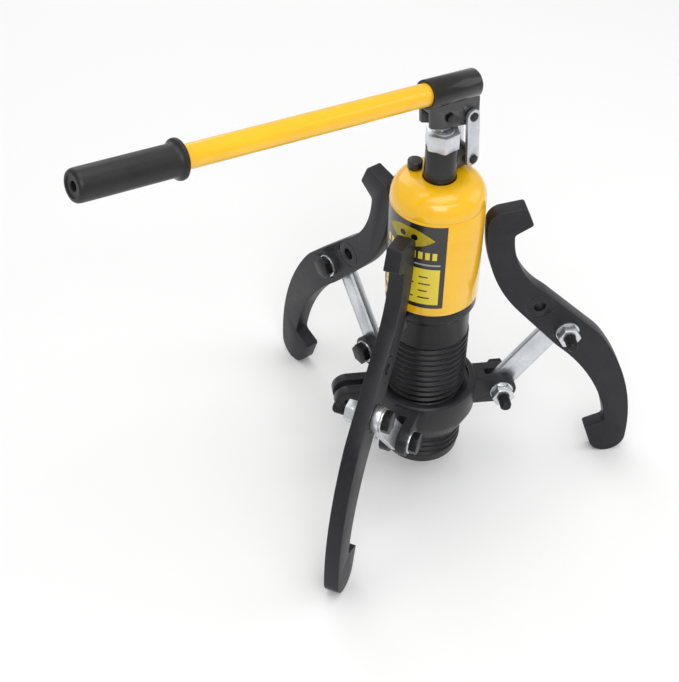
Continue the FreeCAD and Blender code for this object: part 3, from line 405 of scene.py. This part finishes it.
# %% Finishes of this tool
FINISH = {
    "yellow_paint": finish_of("gloss yellow enamel", (0.94, 0.54, 0.004), (0.88, 0.47, 0.003),
                              (0.16, 0.26), drift=14.0, grain=(700.0, 0.15), lumps=(160.0, 0.4),
                              bump=0.00003, coat=0.55),
    "black_steel": finish_of("black oxide steel", (0.012, 0.012, 0.013), (0.020, 0.020, 0.022),
                             (0.30, 0.46), metallic=0.2, drift=40.0,
                             wear_and_sheen_tone=(0.06, 0.06, 0.065), wear_and_sheen=0.7, grain=(1100.0, 0.5),
                             lumps=(200.0, 0.3), specular=0.3),
    "black_enamel": finish_of("gloss black enamel", (0.010, 0.010, 0.011), (0.015, 0.015, 0.016),
                              (0.16, 0.26), drift=30.0, wear_and_sheen_tone=(0.05, 0.05, 0.055), wear_and_sheen=0.6,
                              grain=(700.0, 0.2), lumps=(170.0, 0.6), bump=0.00004, coat=0.3,
                              specular=0.3),
    "thread_black": finish_of("oiled black thread", (0.010, 0.010, 0.011), (0.018, 0.018, 0.020),
                              (0.26, 0.40), metallic=0.35, drift=60.0, wear_and_sheen_tone=(0.10, 0.10, 0.105),
                              wear_and_sheen=0.8, wear_and_sheen_radius=0.0004, grain=(900.0, 0.3),
                              lumps=(260.0, 0.2), specular=0.3),
    "cast_black": finish_of("painted casting", (0.013, 0.013, 0.015), (0.022, 0.022, 0.025),
                            (0.36, 0.52), drift=35.0, wear_and_sheen_tone=(0.05, 0.05, 0.055), wear_and_sheen=0.6,
                            grain=(620.0, 0.9), lumps=(130.0, 1.0), bump=0.00012, coat=0.1,
                            specular=0.28),
    # Forged jaws: the lighter edge tone is a painted highlight along the chamfers as well as wear.
    "forged_black": finish_of("satin forged steel", (0.014, 0.014, 0.017), (0.024, 0.024, 0.028),
                              (0.38, 0.52), metallic=0.25, drift=26.0, wear_and_sheen_tone=(0.095, 0.095, 0.10),
                              wear_and_sheen=0.85, wear_and_sheen_radius=0.0009, grain=(520.0, 0.8),
                              lumps=(110.0, 0.8), bump=0.0001, specular=0.32),
    "black_bolt": finish_of("black bolt steel", (0.011, 0.011, 0.012), (0.019, 0.019, 0.021),
                            (0.28, 0.42), metallic=0.4, drift=80.0, wear_and_sheen_tone=(0.11, 0.11, 0.115),
                            wear_and_sheen=0.8, wear_and_sheen_radius=0.0003, specular=0.3),
    "zinc_steel": finish_of("bright zinc plate", (0.72, 0.74, 0.77), (0.56, 0.58, 0.61),
                            (0.24, 0.40), metallic=0.85, drift=55.0,
                            wear_and_sheen_tone=(0.86, 0.87, 0.89), wear_and_sheen=0.5, grain=(800.0, 0.5),
                            lumps=(240.0, 0.4), bump=0.00004),
    "polished_steel": finish_of("polished hard chrome", (0.78, 0.79, 0.80), (0.70, 0.71, 0.73),
                                (0.07, 0.14), metallic=1.0, drift=40.0, grain=(900.0, 0.1),
                                lumps=(200.0, 0.1), bump=0.00001),
    "spring_steel": finish_of("spring wire", (0.36, 0.37, 0.39), (0.28, 0.29, 0.31), (0.28, 0.42),
                              metallic=0.9, drift=120.0),
    "bronze": finish_of("turned bronze", (0.56, 0.36, 0.15), (0.47, 0.29, 0.11), (0.24, 0.36),
                        metallic=1.0, drift=90.0),
    "seal_rubber": finish_of("nitrile rubber", (0.018, 0.018, 0.018), (0.026, 0.026, 0.026),
                             (0.55, 0.7), drift=60.0, grain=(700.0, 0.6)),
    "grip_rubber": finish_of("moulded grip", (0.012, 0.012, 0.013), (0.019, 0.019, 0.020),
                             (0.30, 0.44), drift=34.0, wear_and_sheen_tone=(0.035, 0.035, 0.037), wear_and_sheen=0.5,
                             grain=(760.0, 0.7), lumps=(150.0, 0.5), bump=0.00006,
                             specular=0.35),
    "black_plastic": finish_of("moulded black plastic", (0.013, 0.013, 0.014),
                               (0.020, 0.020, 0.021), (0.28, 0.40), drift=60.0,
                               wear_and_sheen_tone=(0.04, 0.04, 0.042), wear_and_sheen=0.5),
    "label_black": finish_of("black print", (0.012, 0.011, 0.010), (0.017, 0.016, 0.014),
                             (0.24, 0.34), drift=50.0, bump=0.00001, coat=0.3),
    "label_yellow": finish_of("yellow print", (0.82, 0.66, 0.03), (0.76, 0.60, 0.03),
                              (0.24, 0.34), drift=50.0, bump=0.00001, coat=0.3),
    "label_grey": finish_of("grey print", (0.40, 0.40, 0.36), (0.34, 0.34, 0.31),
                            (0.24, 0.34), drift=50.0, bump=0.00001, coat=0.3),
}
SLOT_OF = {part["node"]: part["material_slot"] for part in frame["record"]["subparts"]}
for node, thing in NODES.items():
    coat = FINISH["label_black" if SLOT_OF[node] == "label_print" else SLOT_OF[node]]
    thing.data.materials.clear()
    thing.data.materials.append(coat)
print("finishes", len(FINISH))

# %% [markdown]
# ## The threaded cylinder
# The barrel is one bar of steel, turned outside and screw-cut with a coarse thread so that the
# cast nut can run on it. A spin gives the turned body, from the bore round the end and up to the
# collar. The thread is a ridge carried round and upwards, which is what a lathe tool leaves.

# %% Barrel
BARREL_RADIUS, THREAD_ROOT, THREAD_PITCH = 33.95, 32.25, 6.0
THREAD_LOW, THREAD_TURNS = 6.0, 21
THREAD_SINK, THREAD_STEPS = 0.35, 72


def make_barrel():
    """The turned body, closed on the axis, with the ridge sunk slightly into its side."""
    bm = bmesh.new()
    lathe(bm, [(0, 132), (22, 132), (22, 0.4), (22.4, 0), (31.6, 0), (THREAD_ROOT, 1.2),
               (THREAD_ROOT, 133.5), (32.6, 134.2), (33, 134.8), (33, 159.4), (33.15, 160),
               (36.9, 165.6), (37.2, 166.3), (37.2, 174.6), (36.8, 175), (0, 175)])
    screw_ridge(bm, THREAD_ROOT - THREAD_SINK, BARREL_RADIUS, THREAD_PITCH, THREAD_LOW,
                THREAD_TURNS, steps=THREAD_STEPS)
    finish_piece(bm, "barrel_turned", "cylinder", FINISH["thread_black"],
                 ["barrel"])


make_barrel()

# %% [markdown]
# ## The oil reservoir
# A pressed steel can, closed by a domed lid whose seam shows as a crease below the shoulder.
# It is a turned shape too. The lower rim is rolled in, and a thin wall is kept so the can is
# hollow like the real one.

# %% Reservoir can
CAN_RADIUS, CAN_WALL, SEAM_HEIGHT = 38.0, 2, 268.5
DOME_START, DOME_TOP, DOME_CURVE = 270.0, 288.0, 18.0
CAN_STEPS = 144


def dome(radius, start, curve, top, count=14):
    """Points of a quarter-round shoulder from the side of the can to its flat top."""
    centre = radius - curve
    return [(centre + curve * math.cos(step / count * math.pi / 2),
             start + (top - start) * math.sin(step / count * math.pi / 2))
            for step in range(count + 1)]


def make_can():
    """Outer wall up to the neck's opening, then the inner wall back down, spun as one loop."""
    bm = bmesh.new()
    outside = [(36.4, 175.3), (37.4, 175.3), (37.9, 175.8), (CAN_RADIUS, 176.6),
               (CAN_RADIUS, SEAM_HEIGHT - 0.7), (37.55, SEAM_HEIGHT), (37.9, SEAM_HEIGHT + 0.7)]
    outside += dome(CAN_RADIUS - 0.1, DOME_START, DOME_CURVE, DOME_TOP)
    outside += [(14.6, DOME_TOP), (13.4, DOME_TOP - 0.5), (13.0, DOME_TOP - CAN_WALL)]
    inside = dome(CAN_RADIUS - CAN_WALL, DOME_START, DOME_CURVE - CAN_WALL, DOME_TOP - CAN_WALL)
    lathe(bm, outside + inside[::-1] + [(36.0, 175.9)], closed=True, steps=CAN_STEPS)
    finish_piece(bm, "reservoir_can", "cylinder", FINISH["yellow_paint"],
                 ["reservoir_shell"], sharp=50)


make_can()

# %% [markdown]
# ## The printed label
# A vinyl band wraps part of the can. Its ground is black, with a pointed badge, a text line, a
# rule and a yellow data panel; here the lettering is only plain bars. Each printed area is a very
# thin curved patch a few hundredths above the one below, so that the print is crisp at any zoom.

# %% Label
LABEL_FIRST, LABEL_LAST = math.radians(-236), math.radians(-118)
LABEL_LOW, LABEL_HIGH = 184.0, 266.0
LABEL_RADIUS = 38.06
LAYER_STEP, PATCH_THICKNESS, BADGE_THICKNESS = 0.04, 0.05, 0.04
PATCH_ANGLE = math.radians(2.5)
BADGE_COLUMNS, BADGE_ROWS, BADGE_TIP = 28, 8, 0.02


def patch(bm, first, last, low, high, layer, coat):
    """A curved patch between two angles and two heights, one print layer thick."""
    inner = LABEL_RADIUS + LAYER_STEP * layer
    outer = inner + PATCH_THICKNESS
    before = set(bm.faces)
    corners = [bm.verts.new((radius * MM * math.cos(first), radius * MM * math.sin(first),
                             height * MM))
               for radius, height in ((inner, low), (outer, low), (outer, high), (inner, high))]
    edges = [bm.edges.new(pair) for pair in zip(corners, corners[1:] + corners[:1])]
    steps = max(2, int(abs(last - first) / PATCH_ANGLE))
    bmesh.ops.spin(bm, geom=corners + edges, cent=(0, 0, 0), axis=(0, 0, 1), angle=last - first,
                   steps=steps)
    made = [face for face in bm.faces if face not in before]
    rim = {edge for face in made for edge in face.edges if edge.is_boundary}
    bmesh.ops.holes_fill(bm, edges=list(rim), sides=4)
    for face in bm.faces:
        if face not in before:
            face.material_index = coat


def badge(bm, middle, height, half_angle, half_height, layer, coat, bow=(2.2, 1.0)):
    """A leaf or a dot: a grid narrowed to its tips, wrapped on the can and given a thickness."""
    made = bmesh.ops.create_grid(bm, x_segments=BADGE_COLUMNS, y_segments=BADGE_ROWS,
                                 size=1.0)["verts"]
    faces = list({face for vert in made for face in vert.link_faces})
    radius = (LABEL_RADIUS + LAYER_STEP * layer + PATCH_THICKNESS) * MM
    for vert in made:
        across, along = vert.co.x, vert.co.y
        angle = middle + half_angle * across
        lift = half_height * along * max(BADGE_TIP, 1 - abs(across) ** bow[0]) ** bow[1]
        vert.co = Vector((radius * math.cos(angle), radius * math.sin(angle),
                          (height + lift) * MM))
    for face in faces:
        face.material_index = coat
    bmesh.ops.solidify(bm, geom=faces, thickness=BADGE_THICKNESS * MM)


def make_label():
    """Ground, panel, rule, rows of bars, a bar line and the badge with its two dots."""
    bm = bmesh.new()
    black, yellow, grey = 0, 1, 2
    patch(bm, LABEL_FIRST, LABEL_LAST, LABEL_LOW, LABEL_HIGH, 0, black)
    left, right = math.radians(-207), math.radians(-124)
    patch(bm, left, right, 188, 224, 1, yellow)
    patch(bm, left, right, 227.5, 229, 1, grey)
    for row, height in enumerate((194, 201, 208, 215)):
        for start, width in ((6, 24), (36, 16), (58, 14)):
            first = left + math.radians(start)
            patch(bm, first, first + math.radians(width - 3 * (row % 2)), height, height + 1.3,
                  2, black)
    for index in range(9):
        first = left + math.radians(4 + index * 8.6)
        patch(bm, first, first + math.radians(5.4), 233.5, 240.5, 1, yellow)
    middle = (left + right) / 2
    badge(bm, middle, 252.5, math.radians(33), 8.6, 1, yellow)
    for offset in (-8, 8):
        badge(bm, middle + math.radians(offset), 252.8, math.radians(4.2), 2.8, 2, black,
              bow=(2.0, 0.5))
    finish_piece(bm, "reservoir_print", "cylinder",
                 [FINISH["label_black"], FINISH["label_yellow"], FINISH["label_grey"]],
                 ["reservoir_label"])


make_label()

# %% [markdown]
# ## Cut, cast and forged pieces
# These keep their engineering shape and only lose their sharp edges. A casting gets the widest
# rounding, plate is merely deburred, and hexagon heads get the small chamfer that a real nut has.

# %% Softened copies
SOFT = {
    "gland_ring": ("cylinder", 0.4), "filler_plug": ("cylinder", 0.7),
    "pump_body": ("cylinder", 0.6), "packing_nut": ("cylinder", 0.7),
    "plunger": ("plunger", 0.5), "plunger_pin": ("plunger", 0.3),
    "handle_socket": ("handle", 0.9), "fulcrum_pin": ("handle", 0.3),
    "anchor_pin": ("pump_links", 0.3), "pump_links": ("pump_links", 0.4),
    "jaw_carrier": ("carrier", 1.1), "carrier_nuts": ("carrier", 0.6),
    "carrier_washers": ("carrier", 0.25), "side_plug": ("cylinder", 0.3),
}
for leg in (1, 2, 3):
    SOFT[f"link_plate_{leg}"] = (f"link_{leg}", 0.45)
    SOFT[f"jaw_nut_{leg}"] = (f"jaw_{leg}", 0.6)
    SOFT[f"jaw_washers_{leg}"] = (f"jaw_{leg}", 0.25)
GLOSSY = ("handle_socket", "pump_body")
for node, (body, width) in SOFT.items():
    coat = FINISH["black_enamel" if node in GLOSSY else SLOT_OF[node]]
    finish_piece(softened(node, width), f"{node}_soft", body, coat, [node],
                 outside=False)

# %% [markdown]
# ## The jaws
# A jaw is dropped forged: flat sides, a broad chamfer along every edge and a raised land round
# each hole. After bevelling the copy, a shallow ring groove is cut round each hole with a
# boolean, so that the metal inside it reads as a land.

# %% Jaws
BOLT_CIRCLE, BOLT_HEIGHT = 66.0, 60.0
JAW_BOLT, SPARE_HOLE = (115.374, 127.957), (88.869, 157.916)
LEG_ANGLE = {1: -30.0, 2: 90.0, 3: 210.0}
JAW_MIDDLE, JAW_HALF, JAW_BEVEL = 9.8, 6.5, 1.5
GROOVE_INNER, GROOVE_OUTER, GROOVE_HALF_DEPTH = 11.2, 12.3, 0.55


def leg_frame(leg):
    """Unit vectors of a leg: outward from the cylinder, and sideways."""
    angle = math.radians(LEG_ANGLE[leg])
    return (Vector((math.cos(angle), math.sin(angle), 0)),
            Vector((-math.sin(angle), math.cos(angle), 0)))


def leg_point(leg, forward, sideways, height):
    """A point in millimetres, given by its place in a leg's own frame."""
    out, side = leg_frame(leg)
    return out * forward + side * sideways + Vector((0, 0, height))


def ring_cutter(leg, middle):
    """Four flat rings, half sunk into a jaw's two faces round its two holes."""
    bm = bmesh.new()
    height_of_ring = 2 * GROOVE_HALF_DEPTH
    for forward, height in (JAW_BOLT, SPARE_HOLE):
        for face in (-1, 1):
            start = leg_point(leg, forward, middle + face * JAW_HALF - GROOVE_HALF_DEPTH, height)
            ring = lathe(bm, [(GROOVE_INNER, 0), (GROOVE_INNER, height_of_ring),
                              (GROOVE_OUTER, height_of_ring), (GROOVE_OUTER, 0)],
                         closed=True, steps=64)
            turn_to(bm, ring, start, leg_frame(leg)[1])
    bmesh.ops.recalc_face_normals(bm, faces=bm.faces)
    mesh = bpy.data.meshes.new("ring_cutter")
    bm.to_mesh(mesh)
    bm.free()
    return bpy.data.objects.new("ring_cutter", mesh)


def make_jaw(leg):
    """A softened jaw with its ring grooves carved by a boolean modifier."""
    middle = JAW_MIDDLE if leg == 2 else -JAW_MIDDLE
    bm = softened(f"jaw_{leg}", JAW_BEVEL)
    blank = bpy.data.meshes.new("jaw_blank")
    bm.to_mesh(blank)
    bm.free()
    holder = bpy.data.objects.new("jaw_blank", blank)
    cutter = ring_cutter(leg, middle)
    for thing in (holder, cutter):
        bpy.context.scene.collection.objects.link(thing)
    carve = holder.modifiers.new("ring", "BOOLEAN")
    carve.operation, carve.solver, carve.object = "DIFFERENCE", "EXACT", cutter
    evaluated = holder.evaluated_get(bpy.context.evaluated_depsgraph_get())
    carved = bmesh.new()
    carved.from_mesh(evaluated.to_mesh())
    evaluated.to_mesh_clear()
    for thing in (holder, cutter):
        bpy.data.objects.remove(thing)
    finish_piece(carved, f"jaw_{leg}_forged", f"jaw_{leg}",
                 FINISH["forged_black"], [f"jaw_{leg}"], outside=False)


for leg in LEG_ANGLE:
    make_jaw(leg)

# %% [markdown]
# ## Bolts
# Six black bolts hold the legs. Each is a chamfered hexagon head, a plain shank and a threaded
# tail that sticks out of its nut. The head is a six-sided disc pulled up and bevelled, and the
# thread is the same ridge as the barrel's, at a quarter of its pitch.

# %% Bolts
BOLT_RADIUS, TAIL_CORE, TAIL_LENGTH, BOLT_PITCH = 5.0, 4.25, 22.0, 1.5
HEAD_CORNER, HEAD_HEIGHT, HEAD_BEVEL = 9.815, 6.4, 0.55
SHANK_IN_HEAD = 0.5


def bolt_shape(bm, length, start, direction):
    """A bolt from its threaded end at the start point to its head, along a direction."""
    made = lathe(bm, [(0, 0), (TAIL_CORE - 0.8, 0), (TAIL_CORE, 0.9), (TAIL_CORE, TAIL_LENGTH),
                      (BOLT_RADIUS, TAIL_LENGTH + 0.6), (BOLT_RADIUS, length + SHANK_IN_HEAD),
                      (0, length + SHANK_IN_HEAD)], steps=40)
    made += screw_ridge(bm, TAIL_CORE - 0.1, BOLT_RADIUS - 0.03, BOLT_PITCH, 1.4,
                        (TAIL_LENGTH - 1.6) / BOLT_PITCH, steps=24)
    before = set(bm.verts)
    disc = bmesh.ops.create_circle(bm, cap_ends=True, segments=6, radius=HEAD_CORNER * MM)["verts"]
    bmesh.ops.translate(bm, vec=(0, 0, length * MM), verts=disc)
    base = list({face for vert in disc for face in vert.link_faces})
    grown = bmesh.ops.extrude_face_region(bm, geom=base)
    top = [item for item in grown["geom"] if isinstance(item, bmesh.types.BMVert)]
    bmesh.ops.translate(bm, vec=(0, 0, HEAD_HEIGHT * MM), verts=top)
    head = [vert for vert in bm.verts if vert not in before]
    edges = list({edge for vert in head for edge in vert.link_edges})
    bmesh.ops.bevel(bm, geom=edges, offset=HEAD_BEVEL * MM, offset_type="OFFSET",
                    segments=BEVEL_SEGMENTS, profile=0.5, affect="EDGES", clamp_overlap=True,
                    material=-1)
    made += [vert for vert in bm.verts if vert not in before]
    turn_to(bm, made, start, direction)


CARRIER_FACE = 11.3
JAW_NEAR, JAW_FAR = 3.0, 16.3
FACE_GAP, WASHER_THICKNESS, NUT_HEIGHT, TAIL_SHOWING = 0.05, 2.0, 8.0, 11.5
NUT_STACK = FACE_GAP + WASHER_THICKNESS + NUT_HEIGHT + TAIL_SHOWING
WASHER_STACK = FACE_GAP + WASHER_THICKNESS


def make_bolts():
    """Three bolts through the carrier as one piece, and one through each jaw."""
    bm = bmesh.new()
    for leg in LEG_ANGLE:
        tail = -CARRIER_FACE - NUT_STACK
        bolt_shape(bm, CARRIER_FACE + WASHER_STACK - tail,
                   leg_point(leg, BOLT_CIRCLE, tail, BOLT_HEIGHT), leg_frame(leg)[1])
    finish_piece(bm, "carrier_bolt_set", "carrier", FINISH["black_bolt"],
                 ["carrier_bolts"])
    for leg in LEG_ANGLE:
        low, high = (-JAW_NEAR, JAW_FAR) if leg == 2 else (-JAW_FAR, JAW_NEAR)
        tail = low - NUT_STACK
        bm = bmesh.new()
        bolt_shape(bm, high + WASHER_STACK - tail, leg_point(leg, JAW_BOLT[0], tail, JAW_BOLT[1]),
                   leg_frame(leg)[1])
        finish_piece(bm, f"jaw_bolt_{leg}_full", f"jaw_{leg}", FINISH["black_bolt"],
                     [f"jaw_bolt_{leg}"])


make_bolts()

# %% [markdown]
# ## Handle tube and grip
# The lever is painted tube with a moulded sleeve. Both are turned shapes laid along the handle's
# line, which rises a little away from the pump. The sleeve has a rounded flange, a gentle waist
# before it, a soft outer end and a hanging hole.

# %% Handle
HANDLE_RISE, HANDLE_FOOT = math.radians(9.35), 366.0
HANDLE_LINE = Vector((-math.cos(HANDLE_RISE), 0, math.sin(HANDLE_RISE)))
TUBE_START, TUBE_END, GRIP_START = -23.6, 292.0, 236.0


def on_handle(distance):
    """A point of the handle's centre line, in millimetres from its foot."""
    return Vector((0, 0, HANDLE_FOOT)) + HANDLE_LINE * distance


def make_handle():
    """The tube, and the sleeve that is pushed over its outer end."""
    bm = bmesh.new()
    length = TUBE_END - TUBE_START
    tube = lathe(bm, [(7.2, 0), (8.4, 0), (8.8, 0.4), (8.8, length - 0.4), (8.4, length),
                      (7.2, length)], closed=True, steps=72)
    turn_to(bm, tube, on_handle(TUBE_START), HANDLE_LINE)
    finish_piece(bm, "handle_tube_painted", "handle", FINISH["yellow_paint"],
                 ["handle_tube"])
    bm = bmesh.new()
    sleeve = lathe(bm, [(8.82, 0), (13.4, 0), (14.3, 0.7), (14.5, 1.9), (14.2, 3.1), (13.2, 3.9),
                        (12.2, 4.9), (11.7, 6.6), (11.6, 9), (11.6, 77.2), (11.3, 79.2),
                        (10.6, 80.4), (9.6, 81), (8.2, 81), (7.9, 80.7), (7.9, 80.2), (7.5, 80),
                        (4.1, 80), (3.5, 79.6), (3.5, 77), (8.82, 77)], closed=True, steps=88)
    turn_to(bm, sleeve, on_handle(GRIP_START), HANDLE_LINE)
    finish_piece(bm, "handle_grip_moulded", "handle", FINISH["grip_rubber"],
                 ["handle_grip"])


make_handle()

# %% [markdown]
# ## Release knob
# The oil release valve is turned by a small round knob on a steel stem. Its rim is bright from
# wear, which is modelled as a thin steel ring let into the face.

# %% Knob
KNOB_ANGLE = math.radians(195)
KNOB_LINE = Vector((math.cos(KNOB_ANGLE), math.sin(KNOB_ANGLE), 0))
KNOB_HEIGHT, KNOB_START = 170.4, 42.4


def make_knob():
    """The moulded knob, and the bright ring in its outer face."""
    start = KNOB_LINE * KNOB_START + Vector((0, 0, KNOB_HEIGHT))
    bm = bmesh.new()
    knob = lathe(bm, [(0, 0), (4.7, 0), (5, 0.3), (5, 4.4), (8.9, 4.6), (9.8, 5.3), (10, 6.2),
                      (9.8, 8.2), (9.2, 8.9), (8.2, 9.1), (7.9, 8.2), (6.6, 8.2), (6.3, 8.7),
                      (0, 8.9)], steps=72)
    turn_to(bm, knob, start, KNOB_LINE)
    finish_piece(bm, "release_knob_moulded", "release_valve",
                 FINISH["black_plastic"], ["release_knob"])
    bm = bmesh.new()
    ring = lathe(bm, [(6.7, 8.0), (7.8, 8.0), (7.8, 8.75), (7.5, 8.95), (7.0, 8.95), (6.7, 8.75)],
                 closed=True, steps=72)
    turn_to(bm, ring, start, KNOB_LINE)
    finish_piece(bm, "release_knob_ring", "release_valve", FINISH["zinc_steel"])


make_knob()

# %% [markdown]
# ## Springs
# The springs are inside, but they move: one end stays with the cylinder and the other goes with
# the ram or a valve ball. Each is a copy of its engineering coil, with its placement baked into
# the mesh.

# %% Springs
# Each spring's moving body, and the heights of its fixed and its moving end.
SPRING_ENDS = {
    "return_spring": ("ram", 129.5, 17.5),
    "suction_spring": ("suction_valve", 163.5, 151.2),
    "discharge_spring": ("discharge_valve", 163.5, 151.2),
}


def make_springs():
    """Copies of the coils, with their placement baked into the mesh."""
    for node, (body, fixed, moving) in SPRING_ENDS.items():
        bm = bmesh.new()
        bm.from_mesh(NODES[node].data)
        bmesh.ops.remove_doubles(bm, verts=bm.verts, dist=MERGE)
        piece = finish_piece(bm, f"{node}_coil", None, FINISH["spring_steel"],
                             [node], outside=False)
        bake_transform(piece)


make_springs()

# %% [markdown]
# ## Studio
# The tool stands on its jaw tips over a plain pale sheet. Large soft lights on three sides and a
# pale world give the long gentle highlights that gloss paint and black steel need.

# %% Studio
PALE, PAPER_ROUGHNESS = (0.93, 0.93, 0.93, 1), 0.9
WHITE, WORLD_STRENGTH = (1, 1, 1, 1), 0.58
FLOOR_SIZE, FLOOR_GAP = 6.0, 0.0003
LIT_POINT = Vector((0, 0, 0.15))
LAMPS = (("key", (-0.9, -1.3, 1.5), 9, 1.0, 0.7), ("fill", (1.5, -0.7, 0.9), 3, 1.0, 1.0),
         ("back", (0.4, 1.6, 1.2), 5, 1.2, 1.2), ("top", (0, 0, 1.9), 11, 1.3, 1.3),
         ("strip", (-0.35, -0.75, 1.25), 2.2, 1.5, 0.05))


def make_studio():
    """World, floor and lamps; each lamp has a place, a power, a width and a depth."""
    scene = bpy.context.scene
    world = bpy.data.worlds.new("pale_room")
    world.use_nodes = True
    world.node_tree.nodes["Background"].inputs[0].default_value = WHITE
    world.node_tree.nodes["Background"].inputs[1].default_value = WORLD_STRENGTH
    scene.world = world
    bm = bmesh.new()
    bmesh.ops.create_grid(bm, x_segments=2, y_segments=2, size=FLOOR_SIZE)
    bmesh.ops.translate(bm, vec=(0, 0, CAD_LOW.z - FLOOR_GAP), verts=bm.verts)
    mesh = bpy.data.meshes.new("pale_floor")
    bm.to_mesh(mesh)
    bm.free()
    floor = bpy.data.objects.new("pale_floor", mesh)
    scene.collection.objects.link(floor)
    paper = bpy.data.materials.new("pale paper")
    paper.use_nodes = True
    paper.node_tree.nodes["Principled BSDF"].inputs["Base Color"].default_value = PALE
    paper.node_tree.nodes["Principled BSDF"].inputs["Roughness"].default_value = PAPER_ROUGHNESS
    mesh.materials.append(paper)
    for name, place, power, width, depth in LAMPS:
        lamp = bpy.data.lights.new(name, "AREA")
        lamp.energy, lamp.shape, lamp.size, lamp.size_y = power, "RECTANGLE", width, depth
        light = bpy.data.objects.new(name, lamp)
        scene.collection.objects.link(light)
        light.location = place
        light.rotation_mode = "QUATERNION"
        light.rotation_quaternion = (Vector(place) - LIT_POINT).to_track_quat("Z", "Y")
    scene.view_settings.view_transform = "Standard"


make_studio()
